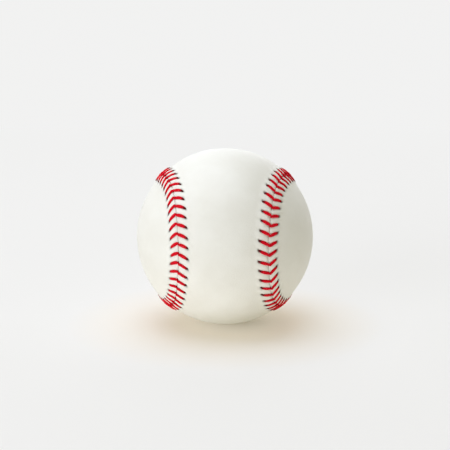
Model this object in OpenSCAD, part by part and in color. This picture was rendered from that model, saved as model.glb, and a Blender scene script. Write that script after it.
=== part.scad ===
// Baseball: a cork ball in two layers of rubber cups, three windings of wool and one of cotton,
// a coat of adhesive, and a leather cover of two waisted panels. Two red threads join the
// panels, edge to edge, with a herringbone stitch that lifts both edges into a raised seam.
// The origin is the centre of the ball. The front panel's waist faces -Y and its lobes lie
// on +Z and -Z. The back panel is the same panel, a quarter turn away, with its waist on +Y.

/* [Core] */
// Diameter of the composition cork ball
cork_d = 20.6; // [16:0.1:25]
// Wall of the two black rubber cups round the cork
black_rubber_t = 3.9; // [2:0.1:6]
// Width of the red rubber ring between the rims of the black cups
ring_w = 2.4; // [1:0.1:6]
// Wall of the two red rubber cups
red_rubber_t = 2.4; // [1:0.1:4]

/* [Windings] */
// Build-up of the four-ply grey wool
inner_wool_t = 14; // [10:0.1:18]
// Build-up of the three-ply white wool
middle_wool_t = 1.8; // [1:0.1:3]
// Build-up of the three-ply grey wool
outer_wool_t = 2.3; // [1:0.1:4]
// Build-up of the fine cotton
cotton_t = 0.5; // [0.3:0.05:1]
// Coat of adhesive under the cover
adhesive_t = 0.15; // [0.1:0.01:0.3]

/* [Cover] */
// Thickness of the cover leather
leather_t = 1.25; // [1.1:0.05:1.6]
// Width of a panel at its waist, from seam to seam over the ball
waist_w = 36.3; // [30:0.1:42]
// Gap between the two panels along the seam
seam_gap = 0.3; // [0.1:0.05:0.5]
// Height of the raised edge along the seam
lip_h = 0.35; // [0.2:0.05:0.6]
// Width of the raised edge along the seam
lip_w = 6.5; // [5.6:0.1:8]

/* [Stitching] */
// Number of stitches along each edge
stitch_count = 108; // [96:2:112]
// Thickness of the waxed thread
thread_d = 0.75; // [0.5:0.05:0.8]
// Width of a stitch half way over the leather, where its thread is pressed flat
leg_w = 1.3; // [0.8:0.05:1.5]
// Distance of the holes from the seam
hole_reach = 4; // [3.6:0.1:5]
// Distance along the seam from a hole to where its thread dives between the panels
hole_lag = 1.9; // [1.5:0.1:3]

/* [Fits] */
// Clearance between one layer and the next
layer_fit = 0.05; // [0.03:0.01:0.1]
// Clearance between the thread and what it lies on, and between two threads that cross
thread_fit = 0.06; // [0.04:0.01:0.1]
// Clearance round the thread in its holes and notches
hole_fit = 0.15; // [0.1:0.01:0.2]

/* [Hidden] */
$fn = 120;

// Radii of the layers, each laid on the one inside it
cork_r = cork_d / 2;
black_in_r = cork_r + layer_fit;
black_r = black_in_r + black_rubber_t;
red_in_r = black_r + layer_fit;
red_r = red_in_r + red_rubber_t;
inner_wool_in_r = red_r + layer_fit;
inner_wool_r = inner_wool_in_r + inner_wool_t;
middle_wool_in_r = inner_wool_r + layer_fit;
middle_wool_r = middle_wool_in_r + middle_wool_t;
outer_wool_in_r = middle_wool_r + layer_fit;
outer_wool_r = outer_wool_in_r + outer_wool_t;
cotton_in_r = outer_wool_r + layer_fit;
cotton_r = cotton_in_r + cotton_t;
adhesive_in_r = cotton_r + layer_fit;
adhesive_r = adhesive_in_r + adhesive_t;
cover_in_r = adhesive_r + layer_fit;
cover_r = cover_in_r + leather_t;

// The seam's course on a ball of radius 1, from angle 0 to seam_turn. Its four waists lie
// waist_angle from the Y axis, and between them it swings sway_angle past an even turn.
waist_angle = waist_w / 2 / cover_r * 180 / PI;
sway_angle = 21.9;
seam_turn = 720;
function unit(v) = v / norm(v);
function seam_dir(angle) =
    let (tilt = 90 - (90 - waist_angle) * cos(angle),
         turn = angle / 2 + sway_angle * sin(2 * angle))
    [sin(tilt) * cos(turn), -cos(tilt), -sin(tilt) * sin(turn)];

// Length walked along the seam against its angle, so that what follows the seam is spaced evenly
walk_steps = 1440;
walk_step = seam_turn / walk_steps;
seam_walk = [for (i = 0, length = 0; i <= walk_steps;
                  length = length + cover_r * norm(seam_dir((i + 1) * walk_step) - seam_dir(i * walk_step)),
                  i = i + 1)
    [length, i * walk_step]];
seam_length = seam_walk[walk_steps][0];
function seam_angle(length) = lookup(length - seam_length * floor(length / seam_length), seam_walk);

// The point a given length along the seam and a given reach to the side of it, over the ball
// towards the front panel, at the given radius
function seam_point(length, reach, radius) =
    let (angle = seam_angle(length),
         up = seam_dir(angle),
         along = unit(seam_dir(angle + walk_step) - seam_dir(angle - walk_step)),
         off = reach / cover_r * 180 / PI)
    radius * (cos(off) * up + sin(off) * cross(along, up));

// Stations along the panels' edges, a multiple of 4
edge_steps = 120;
function station(i) = i * seam_length / edge_steps;

// Stitch i dives between the panels at spot(i), and its two holes lie behind it at tip(i). The
// thread from the front panel passes one pass_step before the spot and the other one after it.
// The stitches stand a little wider apart at the waists: a sine with one wave to each waist
// moves them by up to spread.
pitch = seam_length / stitch_count;
spread = 0.9;
pass_step = (thread_d + thread_fit) / 2;
hole_d = thread_d + 2 * hole_fit;
function spot(i) = i * pitch + spread * sin(2 * seam_turn * i / stitch_count);
function tip(i) = spot(i) - hole_lag;

// Heights of the thread's runs, two over the leather and one under it. A straight run dips by
// its sag as the ball curves away.
over_run = norm([hole_reach, hole_lag]) / 2;
under_run = norm([hole_reach, pitch - hole_lag]);
function sag(run) = run * run / (8 * cover_r);
over_r = cover_r + lip_h + thread_fit + sag(over_run) + thread_d / 2;
under_r = cover_in_r + thread_fit + sag(under_run) + thread_d / 2;

// The channel under each panel's edge, in which the thread runs from the seam to its next hole
channel_r = under_r + thread_d / 2 + 2 * thread_fit;
channel_w = hole_reach + hole_d;
// How far cuts run past what they cut
overrun = 1;

// A closed shell between two radii
module shell(outer_r, inner_r) {
    difference() {
        sphere(outer_r);
        sphere(inner_r);
    }
}

// A block that covers one half of the ball, above a height of low
module half_space(low) {
    side = 2 * cover_r;
    translate([-side / 2, -side / 2, low]) cube(side);
}

// One cup of a shell, its rim at a height of rim
module cup(outer_r, inner_r, rim) {
    intersection() {
        shell(outer_r, inner_r);
        half_space(rim);
    }
}

// The cone from the ball's centre through the front panel's edge, or through a line that lies
// reach inside it. Past the cover it is capped by ribs that run from the right edge to the left.
cone_r = 1.3 * cover_r;
rib_shares = [1, 0.5, 0, -0.5, -1];
module panel_cone(reach) {
    edge = [for (i = [0:edge_steps - 1]) seam_point(station(i), reach, cone_r)];
    quarter = edge_steps / 4;
    rib_last = len(rib_shares) - 1;
    row_last = 2 * quarter - 2;
    ribs = [for (i = [0:row_last])
        let (right = edge[(i + 1 + 3 * quarter) % edge_steps])
        [for (share = rib_shares) cone_r * unit([right.x * share, right.y, right.z])]];
    first = (row_last + 1) * (rib_last + 1);
    last = first + 1;
    centre = first + 2;
    function at(row, k) = row * (rib_last + 1) + k;
    cap = [for (row = [0:row_last - 1]) for (k = [0:rib_last - 1])
        each [[at(row, k), at(row + 1, k + 1), at(row, k + 1)],
              [at(row, k), at(row + 1, k), at(row + 1, k + 1)]]];
    ends = [for (k = [0:rib_last - 1])
        each [[first, at(0, k), at(0, k + 1)],
              [last, at(row_last, k + 1), at(row_last, k)]]];
    sides = [for (row = [0:row_last - 1])
        each [[centre, at(row + 1, 0), at(row, 0)],
              [centre, at(row, rib_last), at(row + 1, rib_last)]]];
    corners = [[centre, at(0, 0), first],
               [centre, first, at(0, rib_last)],
               [centre, last, at(row_last, 0)],
               [centre, at(row_last, rib_last), last]];
    polyhedron(concat([for (rib = ribs) each rib], [edge[3 * quarter], edge[quarter], [0, 0, 0]]),
               concat(cap, ends, sides, corners));
}

// The raised edge: a flat ridge along the whole seam, its section in shares of its width and height
lip_shares = [[-0.2, 1], [0.2, 1], [0.7, 0.6], [1, -0.15], [-0.2, -0.6]];
module edge_lip() {
    sides = len(lip_shares);
    points = [for (i = [0:edge_steps - 1]) for (share = lip_shares)
        seam_point(station(i), share.x * lip_w, cover_r + share.y * lip_h)];
    faces = [for (i = [0:edge_steps - 1]) for (k = [0:sides - 1])
        let (next = (i + 1) % edge_steps * sides,
             a = i * sides + k,
             b = i * sides + (k + 1) % sides,
             c = next + (k + 1) % sides,
             d = next + k)
        each [[a, c, b], [a, d, c]]];
    polyhedron(points, faces);
}

// Puts what follows at a place on the seam or beside it, with X along the seam and Z outwards
module seam_place(length, reach) {
    up = seam_point(length, reach, 1);
    ahead = seam_point(length + thread_d, reach, 1) - seam_point(length - thread_d, reach, 1);
    y = unit(cross(up, ahead));
    x = cross(y, up);
    multmatrix([[x.x, y.x, up.x, 0], [x.y, y.y, up.y, 0], [x.z, y.z, up.z, 0], [0, 0, 0, 1]])
        children();
}

// Cuts for one stitch: its hole in the panel on the given side, 1 for the front one, and the
// notch in that panel's edge where both threads pass
cut_low = cover_in_r - overrun;
cut_h = cover_r + lip_h + overrun - cut_low;
module stitch_cuts(i, side) {
    notch_l = 2 * pass_step + hole_d;
    seam_place(tip(i), side * hole_reach) translate([0, 0, cut_low]) cylinder(d = hole_d, h = cut_h);
    seam_place(spot(i), 0) translate([-notch_l / 2, -hole_d / 2, cut_low]) cube([notch_l, hole_d, cut_h]);
}

// The front panel before it is punched, with its raised edge and the channel under it
module panel_blank() {
    difference() {
        intersection() {
            difference() {
                union() {
                    sphere(cover_r);
                    edge_lip();
                }
                sphere(cover_in_r);
            }
            panel_cone(seam_gap / 2);
        }
        difference() {
            shell(channel_r, cut_low);
            panel_cone(channel_w);
        }
    }
}

// A punched panel. The seam maps onto itself when the ball is turned a quarter about Y and
// mirrored in Y, so the back panel is cut from the same blank.
module panel(side) {
    difference() {
        if (side > 0) panel_blank();
        else mirror([0, 1, 0]) rotate([0, 90, 0]) panel_blank();
        for (i = [0:stitch_count - 1]) stitch_cuts(i, side);
    }
}

// Corners of the thread at stitch i, from the panel on the given side: up through its hole, over
// the raised edge in a bow, and down between the panels to the far side. Half way over, the
// thread has gone bow_share of its way back along the seam. It is pressed flat there.
slant = 0.4 * thread_d;
bow_share = 0.35;
function stitch_path(i, side) =
    let (dive = spot(i) - side * pass_step,
         bow = dive - bow_share * (dive - tip(i)))
    [seam_point(tip(i), side * (hole_reach + slant), under_r),
     seam_point(tip(i), side * (hole_reach - slant), over_r),
     seam_point(bow, side * hole_reach / 2, over_r),
     seam_point(dive, side * slant, over_r),
     seam_point(dive, -side * slant, under_r)];
stitch_widths = [thread_d, thread_d, leg_w, thread_d, thread_d];

// A tube of a given thickness along a path of corners, mitred at each, with its width at each
// measured along the seam. Lines along the seam turn its rings, because no run of the thread
// lies along the seam.
tube_sides = 5;
module tube(path, seam_lines, widths, d) {
    last = len(path) - 1;
    runs = [for (i = [0:last - 1]) unit(path[i + 1] - path[i])];
    points = [for (i = [0:last])
        let (run = runs[max(i - 1, 0)],
             mitre = run + runs[min(i, last - 1)],
             x = unit(seam_lines[i] - (seam_lines[i] * run) * run),
             y = cross(run, x))
        for (k = [0:tube_sides - 1])
            let (turn = k * 360 / tube_sides,
                 spoke = widths[i] / 2 * cos(turn) * x + d / 2 * sin(turn) * y)
            path[i] + spoke - (spoke * mitre) / (run * mitre) * run];
    walls = [for (i = [0:last - 1]) for (k = [0:tube_sides - 1])
        let (a = i * tube_sides + k, b = i * tube_sides + (k + 1) % tube_sides)
        each [[a, b + tube_sides, b], [a, a + tube_sides, b + tube_sides]]];
    start = [for (k = [0:tube_sides - 1]) k];
    end = [for (k = [0:tube_sides - 1]) last * tube_sides + tube_sides - 1 - k];
    polyhedron(points, concat(walls, [start, end]));
}

// One thread. It changes sides at each stitch, and its two ends are tucked under the cover.
tuck_share = 0.4;
module seam_thread(first_side) {
    function side(i) = i % 2 == 0 ? first_side : -first_side;
    corners = [for (i = [0:stitch_count - 1]) each stitch_path(i, side(i))];
    widths = [for (i = [0:stitch_count - 1]) each stitch_widths];
    before = stitch_path(-1, side(-1))[len(stitch_widths) - 1];
    after = stitch_path(stitch_count, side(stitch_count))[0];
    corner_last = len(corners) - 1;
    head = corners[0] + tuck_share * (before - corners[0]);
    tail = corners[corner_last] + tuck_share * (after - corners[corner_last]);
    lines = [for (i = [0:stitch_count - 1])
        let (line = unit(seam_point(spot(i), 0, 1) - seam_point(tip(i), 0, 1)))
        each [for (width = stitch_widths) line]];
    tube(concat([head], corners, [tail]), concat([lines[0]], lines, [lines[corner_last]]),
         concat([thread_d], widths, [thread_d]), thread_d);
}

module cork_core() {
    color("peru") sphere(cork_r);
}

module black_rubber_half_upper() {
    color("dimgray") cup(black_r, black_in_r, ring_w / 2 + layer_fit);
}

module black_rubber_half_lower() {
    mirror([0, 0, 1]) black_rubber_half_upper();
}

module rubber_ring() {
    color("firebrick") intersection() {
        shell(black_r, black_in_r);
        translate([0, 0, -ring_w / 2]) cylinder(r = cover_r, h = ring_w);
    }
}

module red_rubber_half_right() {
    color("firebrick") rotate([0, 90, 0]) cup(red_r, red_in_r, layer_fit / 2);
}

module red_rubber_half_left() {
    mirror([1, 0, 0]) red_rubber_half_right();
}

module wool_winding_inner() {
    color("gray") shell(inner_wool_r, inner_wool_in_r);
}

module wool_winding_middle() {
    color("linen") shell(middle_wool_r, middle_wool_in_r);
}

module wool_winding_outer() {
    color("gray") shell(outer_wool_r, outer_wool_in_r);
}

module cotton_winding() {
    color("ivory") shell(cotton_r, cotton_in_r);
}

module adhesive_coat() {
    color("wheat") shell(adhesive_r, adhesive_in_r);
}

module cover_panel_front() {
    color("ivory") panel(1);
}

module cover_panel_back() {
    color("ivory") panel(-1);
}

module seam_thread_first() {
    color("crimson") seam_thread(1);
}

module seam_thread_second() {
    color("crimson") seam_thread(-1);
}

cork_core();
black_rubber_half_upper();
black_rubber_half_lower();
rubber_ring();
red_rubber_half_left();
red_rubber_half_right();
wool_winding_inner();
wool_winding_middle();
wool_winding_outer();
cotton_winding();
adhesive_coat();
cover_panel_front();
cover_panel_back();
seam_thread_first();
seam_thread_second();
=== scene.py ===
"""Baseball: the leather cover, its stitched seam and the wound centre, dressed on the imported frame.

Lengths are metres in the frame's axes: +Z up, the origin at the ball's centre, and the front
panel's waist towards -Y. The seam is one closed line over the ball, and most surfaces here are
worked out in its own terms: a length along it, and a reach to the side of it.
"""
import math

import bpy
import numpy as np
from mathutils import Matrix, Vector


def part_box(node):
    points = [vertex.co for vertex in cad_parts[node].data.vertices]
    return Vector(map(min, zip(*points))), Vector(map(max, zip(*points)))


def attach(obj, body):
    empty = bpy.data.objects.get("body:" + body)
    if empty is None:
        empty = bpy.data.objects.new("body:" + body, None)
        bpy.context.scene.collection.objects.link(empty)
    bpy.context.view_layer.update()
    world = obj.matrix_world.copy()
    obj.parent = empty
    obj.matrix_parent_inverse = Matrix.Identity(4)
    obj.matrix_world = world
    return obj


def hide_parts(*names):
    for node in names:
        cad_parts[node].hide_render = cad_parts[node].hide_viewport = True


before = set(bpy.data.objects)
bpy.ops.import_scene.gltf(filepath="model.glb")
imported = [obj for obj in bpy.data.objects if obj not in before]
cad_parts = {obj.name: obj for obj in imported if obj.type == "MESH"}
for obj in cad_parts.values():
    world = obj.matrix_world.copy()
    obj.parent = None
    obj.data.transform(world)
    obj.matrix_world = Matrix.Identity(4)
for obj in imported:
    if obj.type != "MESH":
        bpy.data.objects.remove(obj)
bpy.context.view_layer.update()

MM = 0.001

# The ball and its layers, as the frame has them, with the clearance between two layers
LAYER_FIT = 0.05 * MM
COVER_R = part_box("cover_panel_back")[1].x
COVER_IN_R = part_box("adhesive_coat")[1].z + LAYER_FIT
LEATHER_T = COVER_R - COVER_IN_R

# The seam's course: half the angle of a panel's waist, and the swing past an even turn
WAIST_W = 36.3 * MM
WAIST_ANGLE = WAIST_W / 2 / COVER_R
SWAY_ANGLE = math.radians(21.9)
SEAM_TURN = 4 * math.pi

# The stitching
STITCHES = 108
SEAM_GAP = 0.1 * MM
HOLE_REACH = 4.0 * MM
HOLE_LAG = 1.9 * MM
PASS_STEP = 0.26 * MM
# The stitches stand wider apart at the four waists, and wander a little as hand work does
SPREAD = 0.9 * MM
WANDER = 0.7 * MM
OFFSET = 0.25 * MM
# The hidden passes run at this radius, in a channel under the panels' edges
UNDER_R = 36.25 * MM
CHANNEL_R = 36.745 * MM
CHANNEL_W = 5.05 * MM
EDGE_STEP_SHARE = 0.6               # where the edge's wall has its middle row, from the top down

# The leather beside the seam: the raised edge, and the reaches between which it slopes out
LIP_H = 0.42 * MM
LIP_SLOPE = (1.6 * MM, 6.6 * MM)
# A groove under each leg, which grows beside the seam and ends past the hole
GROOVE_D = 0.26 * MM
GROOVE_W = 0.66 * MM
GROOVE_START = (0.3 * MM, 1.3 * MM)
GROOVE_PAST = 0.6 * MM
# A pucker between two legs
PUCKER_H = 0.16 * MM
PUCKER_START = 1.2 * MM
PUCKER_END = (3.4 * MM, 6.8 * MM)
# A pit at each hole, and a crease that pulls away from it
PIT_D = 0.5 * MM
PIT_W = 0.42 * MM
CREASE_D = 0.07 * MM
CREASE_W = 0.8 * GROOVE_W
CREASE_START = 0.5 * MM
CREASE_END = 2.6 * MM
# The dent where both threads dive, its length along the seam and its reach
DENT_D = 0.3 * MM
DENT_L = 0.85 * MM
DENT_W = 0.9 * MM
HOLE_W = 0.5 * MM
HOLE_BACK = 0.1 * MM                # how far beyond its leg's end a hole's mouth is centred
ROLL_R = 0.32 * MM
BUMPINESS = 0.035 * MM

# A stitch's leg over the leather
LEG_BEND = 1.5
LEG_SHARE_MOST = 1.3
# Half way out, a leg on the front panel and one on the back panel sag behind that curve by this
# much on the right of the front waist, and fade to nothing on its left
LEG_SAG = (0.2 * MM, 0.3 * MM)
LEAN = 0.5 * MM
LEG_WIDE = 0.68 * MM
LEG_NARROW = 0.36 * MM
PASS_NARROW = 0.26 * MM
LEG_THICK = 0.36 * MM


def unit(v):
    """Vectors along the last axis, each divided by its length."""
    return v / np.linalg.norm(v, axis=-1, keepdims=True)


def blend_step(x, low, high):
    """0 below low, 1 above high, and between them 3t^2 - 2t^3 of the way t from low to high."""
    t = np.clip((x - low) / (high - low), 0, 1)
    return t * t * (3 - 2 * t)


def bell(x):
    """The bell curve exp(-x^2)."""
    return np.exp(-x * x)


def seam_dir(angle):
    """Direction of the seam from the ball's centre at an angle from 0 to 4 pi.

    The tilt from the -Y axis is 90 degrees less (90 - waist angle) * cos(angle), and the turn
    about Y is half the angle plus sway * sin(2 * angle)."""
    tilt = math.pi / 2 - (math.pi / 2 - WAIST_ANGLE) * np.cos(angle)
    turn = angle / 2 + SWAY_ANGLE * np.sin(2 * angle)
    return np.stack([np.sin(tilt) * np.cos(turn), -np.cos(tilt), -np.sin(tilt) * np.sin(turn)], -1)


# Length along the seam at a walk of small, even angles
WALK = np.linspace(0, SEAM_TURN, 28801)
WALKED = np.concatenate(
    [[0], np.cumsum(COVER_R * np.linalg.norm(np.diff(seam_dir(WALK), axis=0), axis=1))])
SEAM_LENGTH = WALKED[-1]
PITCH = SEAM_LENGTH / STITCHES


def seam_point(length, reach, radius):
    """The point at a length along the seam, a reach to the side of it over the ball towards the
    front panel, and a radius: radius * (cos(off) * up + sin(off) * side), off = reach / cover_r."""
    angle = np.interp(np.mod(length, SEAM_LENGTH), WALKED, WALK)
    up = seam_dir(angle)
    along = unit(seam_dir(angle + WALK[1]) - seam_dir(angle - WALK[1]))
    off = (reach / COVER_R)[..., None]
    return radius[..., None] * (np.cos(off) * up + np.sin(off) * np.cross(along, up))


def seam_line(length):
    """Unit vector along the seam at a length, the chord of a short step either way."""
    step = 0.2 * MM
    zero = np.zeros_like(length)
    one = zero + 1
    return unit(seam_point(length + step, zero, one) - seam_point(length - step, zero, one))


def to_back(points):
    """Where the back panel has what the front one has: a quarter turn about Y, then mirrored
    in Y, which takes (x, y, z) to (z, -y, -x)."""
    return np.stack([points[..., 2], -points[..., 1], -points[..., 0]], -1)


rng = np.random.default_rng(108)
# Small differences between the legs, one row for the front panel's and one for the back one's
LEG_DRIFT = rng.normal(-0.15, 0.09, (2, STITCHES)) * MM
LEG_SWELL = 1 + rng.normal(0, 0.05, (2, STITCHES))
LEG_SHIFT = rng.normal(-0.15, 0.10, (2, STITCHES)) * MM


def stitch_shift(turns):
    """How far stitches lie past an even pitch, from their place along the seam in shares of it: the
    spread is a sine of four waves round the seam, and the wander a cosine of one."""
    return OFFSET + SPREAD * np.sin(8 * np.pi * turns) + WANDER * np.cos(2 * np.pi * turns)


def spot(i):
    """Length along the seam at which the threads of stitch i dive between the panels."""
    return i * PITCH + stitch_shift(i / STITCHES)


def row_of(side):
    """Row of the tables above for the front panel, side 1, or the back one, side -1."""
    return 0 if side > 0 else 1


def plain_lag(turns, reach, side, drift=0.0):
    """How far a leg lies behind its stitch's spot at a reach from the seam: the pass step at the
    seam, and from there a power curve of the reach that ends at the hole's lag and drift. The
    sag is added, half a sine over the reach by a cosine of one wave round the seam, from its
    place along it in shares."""
    share = np.clip(reach / HOLE_REACH, 0, LEG_SHARE_MOST)
    sag = LEG_SAG[row_of(side)] * (0.5 + 0.5 * np.cos(2 * np.pi * turns))
    sag = sag * np.sin(np.pi * np.clip(share, 0, 1))
    return side * PASS_STEP + (HOLE_LAG + drift - side * PASS_STEP) * share ** LEG_BEND + sag


def leg_lag(i, reach, side):
    """The lag of leg i, with its own drift. It grows and shrinks by the lean, a sine of four
    waves round the seam, so the holes stay more even."""
    drift = LEG_DRIFT[row_of(side)][np.mod(i, STITCHES)] + LEAN * np.sin(8 * np.pi * i / STITCHES)
    return plain_lag(i / STITCHES, reach, side, drift)


def leg_reach(i, side):
    """Reach of leg i's hole."""
    return HOLE_REACH + LEG_SHIFT[row_of(side)][np.mod(i, STITCHES)]


def from_leg(length, reach, side):
    """The nearest leg's number, and the distance along the seam from its centre line."""
    place = length + plain_lag(length / SEAM_LENGTH, reach, side)
    i = np.rint((place - stitch_shift(place / SEAM_LENGTH)) / PITCH).astype(int)
    return i, length + leg_lag(i, reach, side) - spot(i)


def lip_height(reach):
    """The raised edge: full height from the seam out to its slope, and from there a smooth step
    down to the plain ball."""
    return LIP_H * (1 - blend_step(reach, *LIP_SLOPE))


def unevenness(points):
    """Slow waves over the ball: sines of four directions, a few turns across the ball each."""
    up = unit(points)
    waves = np.array([[3.1, 1.7, 2.3], [-2.2, 3.7, 1.1], [1.3, -2.9, 4.1], [4.9, 2.2, -3.3]])
    return BUMPINESS * np.sin(up @ waves.T * 2 + np.arange(4)).mean(-1)


def leather_height(length, reach, side):
    """Height of the leather over the plain ball beside the seam.

    It adds the raised edge, a pucker between each two legs, a groove under each leg, a pit at
    each hole, a crease beyond it, and the dent where both threads dive, and takes off the roll
    of the edge into the gap."""
    i, ahead = from_leg(length, reach, side)
    hole = leg_reach(i, side)
    under_leg = blend_step(reach, *GROOVE_START) * (1 - blend_step(reach, hole, hole + GROOVE_PAST))
    pucker = PUCKER_H * (0.5 - 0.5 * np.cos(2 * np.pi * ahead / PITCH))
    pucker = pucker * (1 - blend_step(reach, *PUCKER_END)) * blend_step(reach, 0, PUCKER_START)
    groove = GROOVE_D * bell(ahead / GROOVE_W) * under_leg
    pit = PIT_D * bell(ahead / PIT_W) * bell((reach - hole) / PIT_W)
    crease = CREASE_D * bell(ahead / CREASE_W) * blend_step(reach, hole, hole + CREASE_START)
    crease = crease * (1 - blend_step(reach, hole + CREASE_START, hole + CREASE_END))
    place = length - stitch_shift(length / SEAM_LENGTH)
    spot_ahead = np.mod(place / PITCH + 0.5, 1) * PITCH - PITCH / 2
    dent = DENT_D * bell(spot_ahead / DENT_L) * bell(reach / DENT_W)
    inside = np.clip(ROLL_R + SEAM_GAP / 2 - reach, 0, ROLL_R)
    roll = ROLL_R - np.sqrt(ROLL_R ** 2 - inside ** 2)
    return lip_height(reach) + pucker - groove - pit - crease - dent - roll


def hole_shade(length, reach, side):
    """How deep in a stitch hole's mouth the leather lies, from 0 to 1, as a mask for the shade
    painted there: a bell round each hole.
    """
    i, ahead = from_leg(length, reach, side)
    return bell(ahead / HOLE_W) * bell((reach - leg_reach(i, side) - HOLE_BACK) / HOLE_W)


def add_piece(name, points, faces, smooth_angle=None):
    """A mesh object at the origin from an array of points and a list of face arrays, each with
    one row a face. Faces are smooth, apart from edges sharper than smooth_angle."""
    mesh = bpy.data.meshes.new(name)
    corners = np.concatenate([f.ravel() for f in faces])
    sizes = np.concatenate([np.full(len(f), f.shape[1]) for f in faces])
    mesh.vertices.add(len(points))
    mesh.vertices.foreach_set("co", np.ascontiguousarray(points, np.float32).ravel())
    mesh.loops.add(len(corners))
    mesh.loops.foreach_set("vertex_index", corners.astype(np.int32))
    mesh.polygons.add(len(sizes))
    mesh.polygons.foreach_set("loop_start", (np.cumsum(sizes) - sizes).astype(np.int32))
    mesh.update(calc_edges=True)
    mesh.polygons.foreach_set("use_smooth", np.ones(len(sizes), bool))
    if smooth_angle is not None:
        mesh.set_sharp_from_angle(angle=smooth_angle)
    mesh.validate()
    piece = bpy.data.objects.new(name, mesh)
    bpy.context.scene.collection.objects.link(piece)
    return piece


def set_value(piece, name, values):
    """Stores one number a point as a named attribute of the piece."""
    layer = piece.data.attributes.new(name, "FLOAT", "POINT")
    layer.data.foreach_set("value", np.ascontiguousarray(values, np.float32))


def strip(first, second, closed=True):
    """Four-sided faces between two rows of point numbers. Seen from outside, second lies to the
    left of the way that first runs."""
    a, b = (first, second) if closed else (first[:-1], second[:-1])
    c, d = (np.roll(second, -1), np.roll(first, -1)) if closed else (second[1:], first[1:])
    return np.stack([a, d, c, b], -1)


# Stations along a panel's edge, rows of the fine band beside it, and points across a rib
STATIONS = STITCHES * 14
BAND_ROWS = 34
BAND_W = 8.6 * MM
BAND_CROWDING = 1.35                # rows stand closer together near the seam
RIB_POINTS = 28
INNER_RIB_POINTS = 18
SHARP_EDGE = math.radians(60)


def rib_net(ring, numbers, rib_points, next_number):
    """Fills the inside of a ring of stations on the front panel with ribs that run from its
    right edge to its left: each is an arc of the ring's radius from the angle that the edge has
    from the plane x = 0 to the same angle beyond it. Returns the new points and the faces, wound
    as seen from outside."""
    count = len(ring)
    quarter = count // 4
    right_side = (np.arange(2 * quarter - 1) + 1 + 3 * quarter) % count
    left_side = (2 * quarter - right_side) % count
    shares = np.linspace(1, -1, rib_points + 2)[1:-1]
    right = ring[right_side]
    radius = np.linalg.norm(right, axis=-1)[:, None, None]
    level = right * [0, 1, 1]
    angles = np.arctan2(right[:, 0], np.linalg.norm(level, axis=-1))[:, None] * shares
    points = radius * (np.sin(angles)[..., None] * [1, 0, 0]
                       + np.cos(angles)[..., None] * unit(level)[:, None])
    grid = next_number + np.arange(points[..., 0].size).reshape(len(right), rib_points)
    grid = np.concatenate([numbers[right_side][:, None], grid, numbers[left_side][:, None]], 1)
    faces = [strip(grid[:, k + 1], grid[:, k], closed=False) for k in range(rib_points + 1)]
    first_fan, last_fan = (
        np.stack([np.full(rib_points + 1, tip), row[:-1], row[1:]], -1)
        for tip, row in ((numbers[3 * quarter], grid[0]), (numbers[quarter], grid[-1])))
    fans = np.concatenate([first_fan[:, ::-1], last_fan])
    return points.reshape(-1, 3), [np.concatenate(faces), fans]


def cover_panel(name, side):
    """One leather panel as a closed shell.

    Rows of stations lie at growing reaches from the seam, the outer ones lifted by the
    leather's height, and ribs fill the rest. A wall turns in at the edge, and the inner face
    has the channel that the threads run in. The back panel is worked out in the front one's
    place, with its stitches taken from its own stretch of seam, and then put in its own."""
    stations = np.arange(STATIONS) * SEAM_LENGTH / STATIONS
    own_length = stations if side > 0 else SEAM_LENGTH / 4 + stations
    shares = np.linspace(0, 1, BAND_ROWS)
    reaches = SEAM_GAP / 2 + BAND_W * shares ** BAND_CROWDING
    rows, gaps, shades = [], [], []
    for reach in reaches:
        at = np.full(STATIONS, reach)
        height = leather_height(own_length, at, side)
        plain = seam_point(stations, at, np.full(STATIONS, COVER_R))
        rows.append(plain * (1 + (height + unevenness(plain)) / COVER_R)[:, None])
        gaps.append(at)
        shades.append(hole_shade(own_length, at, side))
    outer = np.arange(BAND_ROWS * STATIONS).reshape(BAND_ROWS, STATIONS)
    faces = [strip(outer[k + 1], outer[k]) for k in range(BAND_ROWS - 1)]
    points = np.concatenate(rows)
    ribs, rib_faces = rib_net(rows[-1], outer[-1], RIB_POINTS, len(points))
    lifted = COVER_R * unit(ribs)
    points = np.concatenate([points, lifted * (1 + unevenness(lifted) / COVER_R)[:, None]])
    faces += rib_faces
    gaps.append(np.full(len(ribs), BAND_W))

    edge = np.full(STATIONS, SEAM_GAP / 2)
    inner_rows = [(edge, COVER_R - EDGE_STEP_SHARE * (COVER_R - CHANNEL_R)),
                  (edge, CHANNEL_R),
                  (edge + CHANNEL_W - SEAM_GAP, CHANNEL_R),
                  (edge + CHANNEL_W, COVER_IN_R)]
    last = outer[0]
    for reach, radius in inner_rows:
        row = seam_point(stations, reach, np.full(STATIONS, radius))
        numbers = len(points) + np.arange(STATIONS)
        points = np.concatenate([points, row])
        faces.append(strip(last, numbers))
        gaps.append(reach)
        last = numbers
    ribs, rib_faces = rib_net(row, last, INNER_RIB_POINTS, len(points))
    points = np.concatenate([points, ribs])
    gaps.append(np.full(len(ribs), BAND_W))
    faces += [f[:, ::-1] for f in rib_faces]
    if side < 0:
        points, faces = to_back(points), [f[:, ::-1] for f in faces]
    piece = add_piece(name, points, faces, SHARP_EDGE)
    set_value(piece, "seam_reach", np.concatenate(gaps))
    # The mask of painted shade in the stitch holes' mouths; the ribs and the inner face get none
    shades = np.concatenate(shades)
    set_value(piece, "hole_shade", np.concatenate([shades, np.zeros(len(points) - len(shades))]))
    return piece


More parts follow.
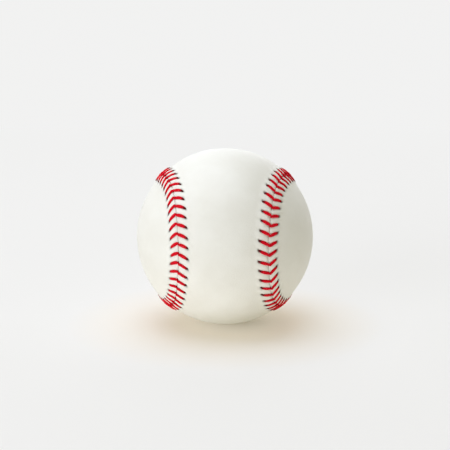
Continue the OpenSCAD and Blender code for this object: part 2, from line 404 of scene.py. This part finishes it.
def spline(knots, samples):
    """A smooth curve through rows of knots, samples points to each span: the cubic that has at
    each knot the slope of the line between its neighbours. The ends repeat their last knot."""
    padded = np.concatenate([knots[:1], knots, knots[-1:]])
    p0, p1, p2, p3 = padded[:-3], padded[1:-2], padded[2:-1], padded[3:]
    t = (np.arange(samples) / samples)[None, :, None]
    p0, p1, p2, p3 = (p[:, None] for p in (p0, p1, p2, p3))
    curve = 0.5 * (2 * p1 + (p2 - p0) * t + (2 * p0 - 5 * p1 + 4 * p2 - p3) * t ** 2
                   + (3 * p1 - p0 - 3 * p2 + p3) * t ** 3)
    return np.concatenate([curve.reshape(-1, knots.shape[1]), knots[-1:]])


# Where along a leg its knots lie, in shares of its hole's reach, from the hole to the seam
LEG_SHARES = np.array([0.92, 0.8, 0.66, 0.5, 0.34, 0.18, 0.07])
# The bow over the raised edge is sin(pi * share^skew)^roundness
BOW_SKEW = 0.8
BOW_ROUNDNESS = 0.6
# A leg's centre line stands this much of its half thickness over its seat, and this much more
# at the top of the bow
SEAT_SHARE = 0.35
BOW_SHARE = 0.6
# Reaches past the seam at which the thread dives and has come down
DIVE_REACH = 0.05 * MM
UNDER_REACH = 0.5 * MM
HOLE_SLANT = 0.1 * MM
# How far the two cut ends are tucked in, along the seam in pitches and across it in reaches
TUCK_ALONG = 0.4
TUCK_ACROSS = 0.8
# Painted shade on the thread: it darkens over this depth, and by this much towards its hole
BURIED_DEPTH = 0.4 * MM
TIP_DARK = 0.9
TIP_SHARES = (0.7, 0.92)
RING_SIDES = 16
KNOT_SAMPLES = 3
PLY_RELIEF = 0.07
PLIES = 3
LAY = 2.6 * MM


def thread_knots(i, side):
    """Knots of the thread at stitches i, whose legs lie on the panels of the given sides. Each
    row is a length along the seam, a signed reach, a radius, and the thread's half width.

    From below, the thread rises through its hole, bows over the raised edge along the leg's
    power curve, dives at the seam and lies under the other panel's edge."""
    hole = np.where(side > 0, leg_reach(i, 1), leg_reach(i, -1))
    swell = np.where(side > 0, LEG_SWELL[0][np.mod(i, STITCHES)], LEG_SWELL[1][np.mod(i, STITCHES)])

    def lag(reach):
        return np.where(side > 0, leg_lag(i, reach, 1), leg_lag(i, reach, -1))

    def knot(reach, radius, half_width, behind):
        return np.stack([spot(i) - behind, side * reach, radius + 0 * reach, half_width], -1)

    narrow = np.full(len(i), LEG_NARROW)
    low = COVER_R - 0.5 * LEATHER_T
    knots = [knot(hole + HOLE_SLANT, UNDER_R, narrow, lag(hole)),
             knot(hole, low, narrow, lag(hole))]
    for share in LEG_SHARES:
        reach = hole * share
        bow = np.sin(np.pi * share ** BOW_SKEW) ** BOW_ROUNDNESS
        seat = COVER_R + lip_height(reach) - GROOVE_D * blend_step(reach, 0, GROOVE_START[1])
        end = PASS_NARROW + (LEG_NARROW - PASS_NARROW) * blend_step(share, 0, 0.5)
        half_width = end + (LEG_WIDE - end) * bow * swell
        radius = seat + LEG_THICK * (SEAT_SHARE + BOW_SHARE * bow)
        knots.append(knot(reach, radius, half_width, lag(reach)))
    neck = narrow * PASS_NARROW / LEG_NARROW
    knots += [knot(-DIVE_REACH + 0 * hole, low, neck, side * PASS_STEP),
              knot(-UNDER_REACH + 0 * hole, UNDER_R, narrow, side * PASS_STEP)]
    return np.stack(knots, 1)


def seam_thread(name, first_side):
    """One thread through the whole seam, a swept tube.

    Its centre line is the smooth curve through the stitches' knots. Around it the section is an
    oval, wide along the seam and as thick as the thread across it, swollen by the plies: the
    radius is 1 - relief * (1 - |cos(plies / 2 * (turn - twist))|), twist growing with length."""
    i = np.arange(STITCHES)
    side = np.where(i % 2 == 0, first_side, -first_side)
    knots = thread_knots(i, side).reshape(-1, 4)
    head, tail = knots[0].copy(), knots[-1].copy()
    head[:3] = knots[0, :3] + [-TUCK_ALONG * PITCH, -TUCK_ACROSS * knots[0, 1], 0]
    tail_reach = TUCK_ACROSS * HOLE_REACH * np.sign(knots[-1, 1])
    tail[:3] = knots[-1, :3] + [TUCK_ALONG * PITCH, tail_reach, 0]
    line = spline(np.concatenate([head[None], knots, tail[None]]), KNOT_SAMPLES)
    length, reach, radius, half_width = line.T
    centre = seam_point(length, reach, radius)
    run = unit(np.gradient(centre, axis=0))
    wide = seam_line(length)
    wide = unit(wide - (wide * run).sum(-1, keepdims=True) * run)
    thick = np.cross(run, wide)
    walked = np.concatenate([[0], np.cumsum(np.linalg.norm(np.diff(centre, axis=0), axis=1))])
    turn = np.arange(RING_SIDES) * 2 * np.pi / RING_SIDES
    twist = 2 * np.pi * walked / LAY
    ply = 1 - PLY_RELIEF * (1 - np.abs(np.cos(PLIES / 2 * (turn[None] - twist[:, None]))))
    spoke = (np.cos(turn)[None, :, None] * half_width[:, None, None] * wide[:, None]
             + np.sin(turn)[None, :, None] * LEG_THICK * thick[:, None])
    points = (centre[:, None] + spoke * ply[..., None]).reshape(-1, 3)
    rings = np.arange(len(points)).reshape(-1, RING_SIDES)
    a, b = rings[:-1], rings[1:]
    walls = np.stack([a, np.roll(a, -1, 1), np.roll(b, -1, 1), b], -1).reshape(-1, 4)
    caps = [rings[:1, ::-1], rings[-1:]]
    piece = add_piece(name, points, [walls] + caps)
    across = np.arange(RING_SIDES) / RING_SIDES
    corner_v = np.stack([across, across + 1 / RING_SIDES, across + 1 / RING_SIDES, across], -1)
    corner_u = np.stack([walked[:-1], walked[:-1], walked[1:], walked[1:]], -1) / LAY
    uv = np.stack([np.broadcast_to(corner_u[:, None], (len(a), RING_SIDES, 4)),
                   np.broadcast_to(corner_v[None], (len(a), RING_SIDES, 4))], -1).reshape(-1, 2)
    uv = np.concatenate([uv, np.zeros((2 * RING_SIDES, 2))])
    piece.data.uv_layers.new(name="lay").data.foreach_set("uv", uv.astype(np.float32).ravel())
    # Painted shade on the thread, where it sinks below the leather and towards its hole
    tip_share = np.abs(reach) / HOLE_REACH
    buried = np.clip((COVER_R + lip_height(np.abs(reach)) - radius) / BURIED_DEPTH, 0, 1)
    painted_thread_shade = np.clip(buried + TIP_DARK * blend_step(tip_share, *TIP_SHARES), 0, 1)
    set_value(piece, "buried", np.repeat(painted_thread_shade, RING_SIDES))
    return piece


def net_faces(grid):
    """Four-sided faces of a net from its point numbers, one row of the grid a row of the net."""
    corners = [grid[:-1, :-1], grid[1:, :-1], grid[1:, 1:], grid[:-1, 1:]]
    return np.stack(corners, -1).reshape(-1, 4)


def cube_sphere(cells):
    """Points and faces of a ball of radius 1: a cube's six faces cut into cells, each point
    divided by its length. Angles, not lengths, are even across a face."""
    angle = np.tan(np.linspace(-np.pi / 4, np.pi / 4, cells + 1))
    u, v = np.meshgrid(angle, angle, indexing="ij")
    one = np.ones_like(u)
    sides = [(one, u, v), (-one, v, u), (v, one, u), (u, -one, v), (u, v, one), (v, u, -one)]
    points = np.concatenate([np.stack(s, -1).reshape(-1, 3) for s in sides])
    grid = np.arange((cells + 1) ** 2).reshape(cells + 1, cells + 1)
    faces = np.concatenate([net_faces(grid) + k * grid.size for k in range(6)])
    _, first, number = np.unique(np.round(unit(points), 7), axis=0, return_index=True,
                                 return_inverse=True)
    return unit(points[first]), number.ravel()[faces]


# A strand's edges, and what no strand covers, stand at this share of the height of its top
GAP_HEIGHT = 0.42
STRAND_RELIEF = 0.35


def wound_layer(name, outer_r, inner_r, strand_w, turns, cells, seed):
    """A wound layer as a closed shell whose outer face is its last turns of yarn.

    Each turn is a great circle of random tilt. Over a point, the last turn that covers it sets
    the height, a half round of the strand's width, and older turns show beside it."""
    draw = np.random.default_rng(seed)
    ball, faces = cube_sphere(cells)
    height = np.full(len(ball), GAP_HEIGHT)
    place = np.full(len(ball), 0.5)
    poles = unit(draw.normal(size=(turns, 3)))
    for pole in poles:
        off = np.arcsin(np.clip(ball @ pole, -1, 1)) * outer_r / (strand_w / 2)
        covers = np.abs(off) < 1
        round_top = np.sqrt(np.clip(1 - off ** 2, 0, 1))
        height = np.where(covers, GAP_HEIGHT + (1 - GAP_HEIGHT) * round_top, height)
        place = np.where(covers, draw.random(), place)
    relief = STRAND_RELIEF * strand_w
    outer = ball * (outer_r - relief * (1 - height))[:, None]
    core, core_faces = cube_sphere(cells // 4)
    points = np.concatenate([outer, core * inner_r])
    piece = add_piece(name, points, [faces, core_faces[:, ::-1] + len(outer)])
    set_value(piece, "strand", np.concatenate([place, np.zeros(len(core))]))
    set_value(piece, "height", np.concatenate([height, np.zeros(len(core))]))
    return piece


def add_node(tree, kind, settings=None, **inputs):
    """Adds a shader node, sets its properties, and fills its inputs by name with _ for a space:
    each with a value or with another node's output."""
    item = tree.nodes.new(kind)
    for key, value in (settings or {}).items():
        setattr(item, key, value)
    for key, value in inputs.items():
        socket = item.inputs[int(key[1:])] if key[0] == "i" and key[1:].isdigit() else \
            item.inputs[key.replace("_", " ")]
        if isinstance(value, bpy.types.NodeSocket):
            tree.links.new(value, socket)
        else:
            socket.default_value = value
    return item


def math_node(tree, operation, first, second=0.0, third=0.0):
    """One sum of a Math node, as its output."""
    return add_node(tree, "ShaderNodeMath", {"operation": operation},
                    i0=first, i1=second, i2=third).outputs[0]


def own_value(tree, name):
    """A named attribute of the piece, as an output."""
    return add_node(tree, "ShaderNodeAttribute", {"attribute_name": name}).outputs["Fac"]


def object_place(tree):
    """The piece's Object coordinates, as an output."""
    return add_node(tree, "ShaderNodeTexCoord").outputs["Object"]


def map_value(tree, value, low, high, at_low=0.0, at_high=1.0):
    """A value carried evenly from low and high to at_low and at_high, and held there beyond."""
    return add_node(tree, "ShaderNodeMapRange", Value=value, From_Min=low, From_Max=high,
                    To_Min=at_low, To_Max=at_high).outputs["Result"]


def mix_colour(tree, share, first, second):
    """A mix of two colours, as its output. Sockets 0, 6 and 7 of Mix are the share and colours."""
    return add_node(tree, "ShaderNodeMix", {"data_type": "RGBA"},
                    i0=share, i6=first, i7=second).outputs[2]


def ramp(tree, value, stops):
    """A colour ramp through (place, grey) stops, as its output."""
    item = add_node(tree, "ShaderNodeValToRGB", i0=value)
    elements = item.color_ramp.elements
    while len(elements) < len(stops):
        elements.new(0.5)
    for element, (place, grey) in zip(elements, stops):
        element.position = place
        element.color = (grey, grey, grey, 1)
    return item.outputs[0]


def new_material(name, rough, specular=0.5):
    """An empty material with its Principled shader, and the shader's tree."""
    material = bpy.data.materials.new(name)
    material.use_nodes = True
    shader = material.node_tree.nodes["Principled BSDF"]
    shader.inputs["Roughness"].default_value = rough
    shader.inputs["Specular IOR Level"].default_value = specular
    return material, shader, material.node_tree


def new_group(name, takes, gives):
    """An empty node group with named inputs, each with its kind and value, and named outputs."""
    tree = bpy.data.node_groups.new(name, "ShaderNodeTree")
    for key, kind, value in takes:
        socket = tree.interface.new_socket(key, in_out="INPUT", socket_type=kind)
        if value is not None:
            socket.default_value = value
    for key, kind in gives:
        tree.interface.new_socket(key, in_out="OUTPUT", socket_type=kind)
    return tree, tree.nodes.new("NodeGroupInput").outputs, tree.nodes.new("NodeGroupOutput").inputs


def make_grain_group():
    """Fine grain of a hide or a moulded skin: cells with pores at their corners over a slow swell,
    put out as a height, and a slow tone that drifts over the surface."""
    tree, takes, gives = new_group(
        "surface_grain",
        [("Vector", "NodeSocketVector", None), ("Grain Scale", "NodeSocketFloat", 2600.0),
         ("Tone Scale", "NodeSocketFloat", 60.0)],
        [("Height", "NodeSocketFloat"), ("Tone", "NodeSocketFloat")])
    cells = add_node(tree, "ShaderNodeTexVoronoi", {"feature": "SMOOTH_F1"},
                     Vector=takes["Vector"], Scale=takes["Grain Scale"])
    half_scale = math_node(tree, "MULTIPLY", takes["Grain Scale"], 0.3)
    swell = add_node(tree, "ShaderNodeTexNoise", Vector=takes["Vector"], Scale=half_scale,
                     Detail=4.0)
    height = math_node(tree, "MULTIPLY_ADD", swell.outputs["Fac"], 0.9, cells.outputs["Distance"])
    tone = add_node(tree, "ShaderNodeTexNoise", Vector=takes["Vector"],
                    Scale=takes["Tone Scale"], Detail=5.0, Roughness=0.6)
    tree.links.new(height, gives["Height"])
    tree.links.new(tone.outputs["Fac"], gives["Tone"])
    return tree


grain_group = make_grain_group()


def place_grain(tree, grain_scale, tone_scale):
    """The grain group in a material, on the piece's Object coordinates."""
    item = add_node(tree, "ShaderNodeGroup", {"node_tree": grain_group},
                    Vector=object_place(tree))
    item.inputs["Grain Scale"].default_value = grain_scale
    item.inputs["Tone Scale"].default_value = tone_scale
    return item.outputs["Height"], item.outputs["Tone"]


def bump(tree, shader, height, distance, strength=1.0):
    """A Bump node from a height in units of distance to the shader's Normal."""
    item = add_node(tree, "ShaderNodeBump", Height=height, Distance=distance, Strength=strength)
    tree.links.new(item.outputs["Normal"], shader.inputs["Normal"])


def cream_leather():
    """Smooth white cowhide: a cream that drifts in tone, pores, a soft gloss, a darker line of
    painted shade in the gap of the seam, and painted shade in the mouths of the stitch holes."""
    material, shader, tree = new_material("cream_leather", 0.5, 0.4)
    height, tone = place_grain(tree, 2600.0, 55.0)
    base = mix_colour(tree, ramp(tree, tone, [(0.35, 0), (0.65, 1)]),
                      (0.80, 0.775, 0.688, 1), (0.845, 0.825, 0.745, 1))
    # Painted shade: the leather darkens towards the gap of the seam
    near = map_value(tree, own_value(tree, "seam_reach"), 0.15 * MM, 0.9 * MM, 1.0, 0.0)
    shade = math_node(tree, "MULTIPLY", near, 0.06)
    base = mix_colour(tree, shade, base, (0.36, 0.31, 0.26, 1))
    # Painted shade: the mouths of the stitch holes are painted near black
    mouth = math_node(tree, "MULTIPLY", own_value(tree, "hole_shade"), 0.95)
    base = mix_colour(tree, mouth, base, (0.05, 0.035, 0.025, 1))
    tree.links.new(base, shader.inputs["Base Color"])
    tree.links.new(map_value(tree, tone, 0.3, 0.7, 0.44, 0.56), shader.inputs["Roughness"])
    bump(tree, shader, height, 0.05 * MM, 0.8)
    return material


def waxed_thread():
    """Bright red waxed thread: a painted highlight along the top of each ply and painted shade in
    the furrows between them, with fine fibres along the plies, and painted shade where it goes
    into the leather and towards its holes."""
    material, shader, tree = new_material("waxed_red_thread", 0.6, 0.08)
    uv = add_node(tree, "ShaderNodeUVMap", {"uv_map": "lay"}).outputs["UV"]
    parts = add_node(tree, "ShaderNodeSeparateXYZ", Vector=uv)
    turns = math_node(tree, "SUBTRACT", parts.outputs["Y"], parts.outputs["X"])
    plies = math_node(tree, "MULTIPLY", turns, PLIES * math.pi)
    top = math_node(tree, "ABSOLUTE", math_node(tree, "COSINE", plies))
    along = add_node(tree, "ShaderNodeCombineXYZ",
                     X=math_node(tree, "MULTIPLY", parts.outputs["X"], 2.0),
                     Y=math_node(tree, "MULTIPLY", turns, 24.0))
    fibre = add_node(tree, "ShaderNodeTexNoise", Vector=along.outputs["Vector"], Scale=2.0,
                     Detail=4.0).outputs["Fac"]
    # Painted light: a shaded and a lit red, mixed by the place across each ply, give shade in the
    # furrows and a highlight on the tops
    base = mix_colour(tree, ramp(tree, top, [(0.05, 0), (0.75, 1)]),
                      (0.34, 0.0008, 0.006, 1), (0.70, 0.0015, 0.013, 1))
    fibre_share = math_node(tree, "MULTIPLY", fibre, 0.35)
    base = mix_colour(tree, fibre_share, base, (0.78, 0.006, 0.018, 1))
    # Painted shade where the thread goes into the leather and near its hole
    buried = math_node(tree, "MULTIPLY", own_value(tree, "buried"), 0.92)
    base = mix_colour(tree, buried, base, (0.06, 0.004, 0.006, 1))
    tree.links.new(base, shader.inputs["Base Color"])
    relief = math_node(tree, "MULTIPLY_ADD", fibre, 0.5, top)
    bump(tree, shader, relief, 0.04 * MM, 0.6)
    return material


def wound_yarn(name, dark, light, fuzz):
    """Wound yarn: each strand has its own tone, painted shade makes the gaps darker, and fibres make
    it rough.
    """
    material, shader, tree = new_material(name, 0.9, 0.2)
    shader.inputs["Sheen Weight"].default_value = 0.25
    fibre = add_node(tree, "ShaderNodeTexNoise", Vector=object_place(tree), Scale=fuzz,
                     Detail=6.0, Roughness=0.7).outputs["Fac"]
    fibre_share = math_node(tree, "MULTIPLY", fibre, 0.5)
    tone = math_node(tree, "MULTIPLY_ADD", own_value(tree, "strand"), 0.6, fibre_share)
    base = mix_colour(tree, tone, (*dark, 1), (*light, 1))
    # Painted shade between the strands, darker where the surface lies lower
    gap = ramp(tree, own_value(tree, "height"), [(0.35, 0.35), (0.8, 1.0)])
    base = add_node(tree, "ShaderNodeMix", {"data_type": "RGBA", "blend_type": "MULTIPLY"},
                    i0=1.0, i6=base, i7=gap).outputs[2]
    tree.links.new(base, shader.inputs["Base Color"])
    bump(tree, shader, fibre, 0.15 * MM, 0.6)
    return material


def composition_cork():
    """Pressed cork: grains of a few browns with dark specks between them."""
    material, shader, tree = new_material("composition_cork", 0.85, 0.25)
    coords = object_place(tree)
    grains = add_node(tree, "ShaderNodeTexVoronoi", Vector=coords, Scale=900.0)
    specks = add_node(tree, "ShaderNodeTexNoise", Vector=coords, Scale=1500.0, Detail=3.0)
    tone = math_node(tree, "FRACT", math_node(tree, "MULTIPLY", grains.outputs["Color"], 7.0))
    base = mix_colour(tree, tone, (0.30, 0.15, 0.06, 1), (0.58, 0.36, 0.18, 1))
    dark = ramp(tree, specks.outputs["Fac"], [(0.60, 0), (0.68, 1)])
    base = mix_colour(tree, dark, base, (0.09, 0.045, 0.02, 1))
    tree.links.new(base, shader.inputs["Base Color"])
    bump(tree, shader, grains.outputs["Distance"], 0.2 * MM, 0.5)
    return material


def moulded_rubber(name, dark, light):
    """Moulded rubber with a talc bloom that drifts over it and a fine skin."""
    material, shader, tree = new_material(name, 0.7, 0.35)
    height, tone = place_grain(tree, 1800.0, 140.0)
    base = mix_colour(tree, ramp(tree, tone, [(0.4, 0), (0.7, 1)]), (*dark, 1), (*light, 1))
    tree.links.new(base, shader.inputs["Base Color"])
    bump(tree, shader, height, 0.02 * MM, 0.4)
    return material


def rubber_cement():
    """Dried rubber cement: a thin yellowish skin with brush marks and thin, greyer spots."""
    material, shader, tree = new_material("rubber_cement", 0.45, 0.5)
    coords = object_place(tree)
    stretched = add_node(tree, "ShaderNodeMapping", Vector=coords, Scale=(180.0, 900.0, 180.0))
    marks = add_node(tree, "ShaderNodeTexNoise", Vector=stretched.outputs["Vector"], Scale=1.0,
                     Detail=4.0)
    base = mix_colour(tree, marks.outputs["Fac"], (0.50, 0.46, 0.34, 1), (0.74, 0.68, 0.50, 1))
    tree.links.new(base, shader.inputs["Base Color"])
    bump(tree, shader, marks.outputs["Fac"], 0.08 * MM, 0.6)
    return material


def dress(piece, material, slot, *nodes):
    """Gives a new piece its material, hangs it from the root body, and hides the nodes that it
    replaces.
    """
    piece.data.materials.append(material)
    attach(piece, "root")
    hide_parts(*nodes)


def dress_node(node, material):
    """A CAD node that stays gets its finish on its own material slots."""
    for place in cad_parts[node].material_slots:
        place.material = material


leather = cream_leather()
thread = waxed_thread()
for node, side in (("cover_panel_front", 1), ("cover_panel_back", -1)):
    dress(cover_panel("leather_" + node, side), leather, "leather", node)
for node, side in (("seam_thread_first", 1), ("seam_thread_second", -1)):
    dress(seam_thread("waxed_" + node, side), thread, "thread", node)

grey_yarn = wound_yarn("grey_wool_yarn", (0.16, 0.155, 0.15), (0.42, 0.41, 0.39), 900.0)
white_yarn = wound_yarn("white_wool_yarn", (0.52, 0.50, 0.44), (0.80, 0.78, 0.71), 900.0)
cotton_yarn = wound_yarn("cotton_thread", (0.60, 0.58, 0.52), (0.86, 0.84, 0.79), 2200.0)
# Each winding from the inside out: its node, finish, slot, strand's width, turns, and mesh cells
# along a cube's edge. Each lies on the piece before it.
WOUND = [("wool_winding_inner", grey_yarn, "grey_wool", 2.2 * MM, 420, 110),
         ("wool_winding_middle", white_yarn, "white_wool", 1.8 * MM, 520, 116),
         ("wool_winding_outer", grey_yarn, "grey_wool", 1.8 * MM, 540, 118),
         ("cotton_winding", cotton_yarn, "cotton", 1.2 * MM, 800, 122)]
inner_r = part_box("red_rubber_half_right")[1].z + LAYER_FIT
for seed, (node, material, slot, strand_w, turns, cells) in enumerate(WOUND):
    outer_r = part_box(node)[1].z
    dress(wound_layer("wound_" + node, outer_r, inner_r, strand_w, turns, cells, seed),
          material, slot, node)
    inner_r = outer_r + LAYER_FIT

dress_node("cork_core", composition_cork())
black = moulded_rubber("black_rubber", (0.012, 0.012, 0.012), (0.045, 0.043, 0.04))
red = moulded_rubber("red_rubber", (0.28, 0.025, 0.015), (0.42, 0.06, 0.04))
for node in ("black_rubber_half_upper", "black_rubber_half_lower"):
    dress_node(node, black)
for node in ("rubber_ring", "red_rubber_half_left", "red_rubber_half_right"):
    dress_node(node, red)
dress_node("adhesive_coat", rubber_cement())


# The stage: a wide floor of pale paper that fades into a pale backdrop
FLOOR_HALF_W = 4.0
FLOOR_LINES = 9
BACKDROP = (0.885, 0.885, 0.88, 1)
PAPER = (0.86, 0.835, 0.79, 1)
FADE_NEAR = 0.05
FADE_FAR = 0.9
OWN_LIGHT_NEAR = 0.42
# Close to where the ball touches it, and more to the right, its own light dims: a painted contact
# shadow
CONTACT_SHARE = 0.25
CONTACT_PLACE = (8 * MM, 0, -COVER_R)
CONTACT_FAR = 22 * MM
# The paper's own light has a painted warm shadow tint where the ball keeps the lamps off it, and the
# paper glows a little back at the ball
WARM = (0.94, 0.81, 0.61, 1)
WARM_NEAR = 0.042
WARM_FAR = 0.077
GLOW = (0.212, 0.206, 0.165, 1)


def seen_share(tree):
    """1 for what the camera sees straight, mirrored or through glass, and 0 for other light."""
    path = add_node(tree, "ShaderNodeLightPath").outputs
    straight = math_node(tree, "ADD", path["Is Camera Ray"], path["Is Glossy Ray"])
    return math_node(tree, "MINIMUM", 1.0,
                     math_node(tree, "ADD", straight, path["Is Transmission Ray"]))


def wide_floor():
    """The floor: a square net of points, evenly spaced both ways, at the ball's lowest point."""
    line = np.linspace(-FLOOR_HALF_W, FLOOR_HALF_W, FLOOR_LINES)
    x, y = np.meshgrid(line, line, indexing="ij")
    points = np.stack([x, y, np.full_like(x, -COVER_R)], -1).reshape(-1, 3)
    grid = np.arange(len(points)).reshape(FLOOR_LINES, FLOOR_LINES)
    return add_piece("wide_floor", points, [net_faces(grid)])


def pale_paper():
    """Matt pale paper. Where it is seen, part of what it shows is the backdrop's own colour, the
    more the further off, so it keeps the ball's shadow and fades into the backdrop. That part is
    warmer near the ball, a painted warm shadow tint, and less at the contact, a painted contact
    shadow. All other light finds it glowing faintly."""
    material, shader, tree = new_material("pale_paper", 0.9, 0.1)
    shader.inputs["Base Color"].default_value = PAPER
    coords = object_place(tree)
    far = add_node(tree, "ShaderNodeVectorMath", {"operation": "LENGTH"},
                   i0=coords).outputs["Value"]
    # Painted contact shadow: less own light near a place just right of where the ball touches
    off = add_node(tree, "ShaderNodeVectorMath", {"operation": "DISTANCE"},
                   i0=coords, i1=CONTACT_PLACE).outputs["Value"]
    share = math_node(tree, "MULTIPLY",
                      map_value(tree, far, FADE_NEAR, FADE_FAR, OWN_LIGHT_NEAR),
                      map_value(tree, off, 0.0, CONTACT_FAR, CONTACT_SHARE))
    seen = seen_share(tree)
    # Painted warm shadow tint: the own light turns warm near the ball
    cool = map_value(tree, far, WARM_NEAR, WARM_FAR)
    own_light = add_node(tree, "ShaderNodeEmission", Color=mix_colour(tree, cool, WARM, BACKDROP))
    mixed = add_node(tree, "ShaderNodeMixShader", i0=math_node(tree, "MULTIPLY", share, seen),
                     i1=shader.outputs["BSDF"], i2=own_light.outputs["Emission"])
    glow = add_node(tree, "ShaderNodeEmission", Color=GLOW,
                    Strength=math_node(tree, "SUBTRACT", 1.0, seen))
    both = add_node(tree, "ShaderNodeAddShader", i0=mixed.outputs["Shader"],
                    i1=glow.outputs["Emission"])
    tree.links.new(both.outputs["Shader"], tree.nodes["Material Output"].inputs["Surface"])
    return material


floor = wide_floor()
floor.data.materials.append(pale_paper())

# The light: large soft lamps over, to the left of, behind and to the right of the ball, cool
# against a dim warm room
ROOM_TOP = 0.32
ROOM_TINT = (1.0, 0.91, 0.42, 1)
LAMP_TINT = (0.80, 0.85, 1.0)
LAMPS = [("top_lamp", (-0.22, 0.1, 1.28), 1.2, 17.0),
         ("low_left_lamp", (-0.75, -1.0, 0.08), 0.8, 13.5),
         ("back_lamp", (0.0, 1.2, 0.7), 1.0, 4.6),
         ("right_rim_lamp", (1.0, 0.8, 0.3), 0.8, 2.2)]


def pale_room():
    """The world: warm light that grows from the horizon up, and the backdrop's own colour where
    it is seen past the floor."""
    world = bpy.data.worlds.new("pale_room")
    world.use_nodes = True
    tree = world.node_tree
    room = tree.nodes["Background"]
    way = add_node(tree, "ShaderNodeTexCoord").outputs["Generated"]
    up = add_node(tree, "ShaderNodeSeparateXYZ", Vector=way).outputs["Z"]
    light = map_value(tree, up, 0.0, 1.0, 0.0, ROOM_TOP)
    room.inputs["Color"].default_value = ROOM_TINT
    tree.links.new(light, room.inputs["Strength"])
    backdrop = add_node(tree, "ShaderNodeBackground", Color=BACKDROP)
    seen = seen_share(tree)
    mixed = add_node(tree, "ShaderNodeMixShader", i0=seen, i1=room.outputs["Background"],
                     i2=backdrop.outputs["Background"])
    tree.links.new(mixed.outputs["Shader"], tree.nodes["World Output"].inputs["Surface"])
    bpy.context.scene.world = world


def look_along(line):
    """Euler angles that turn -Z along a line, with Y as near to up as it goes."""
    x, y, z = line / np.linalg.norm(line)
    return math.acos(-z), 0.0, -math.atan2(x, y)


def soft_lamp(name, place, size, power):
    """A square area lamp of a given size at a place, turned to the ball."""
    lamp = bpy.data.lights.new(name, "AREA")
    lamp.size = size
    lamp.energy = power
    lamp.color = LAMP_TINT
    item = bpy.data.objects.new(name, lamp)
    item.location = place
    item.rotation_euler = look_along(-np.array(place))
    bpy.context.scene.collection.objects.link(item)


pale_room()
for name, place, size, power in LAMPS:
    soft_lamp(name, place, size, power)

# The camera: as the photograph sees the ball, about 12 radii off and a little above it
CAMERA_FAR = 12 * COVER_R
CAMERA_UP = math.radians(11.37)
CAMERA_ROUND = math.radians(1.07)
AIM_UP = 4.8 * MM
FOCAL_PX = 1052
PICTURE_PX = 450
camera_data = bpy.data.cameras.new("camera")
camera = bpy.data.objects.new("camera", camera_data)
bpy.context.scene.collection.objects.link(camera)
bpy.context.scene.camera = camera
camera_data.lens = camera_data.sensor_width * FOCAL_PX / PICTURE_PX
camera_place = CAMERA_FAR * np.array([math.sin(CAMERA_ROUND) * math.cos(CAMERA_UP),
                                      -math.cos(CAMERA_ROUND) * math.cos(CAMERA_UP),
                                      math.sin(CAMERA_UP)])
camera.location = camera_place
camera.rotation_euler = look_along(np.array([0, 0, AIM_UP]) - camera_place)

bpy.context.scene.view_settings.view_transform = "Standard"
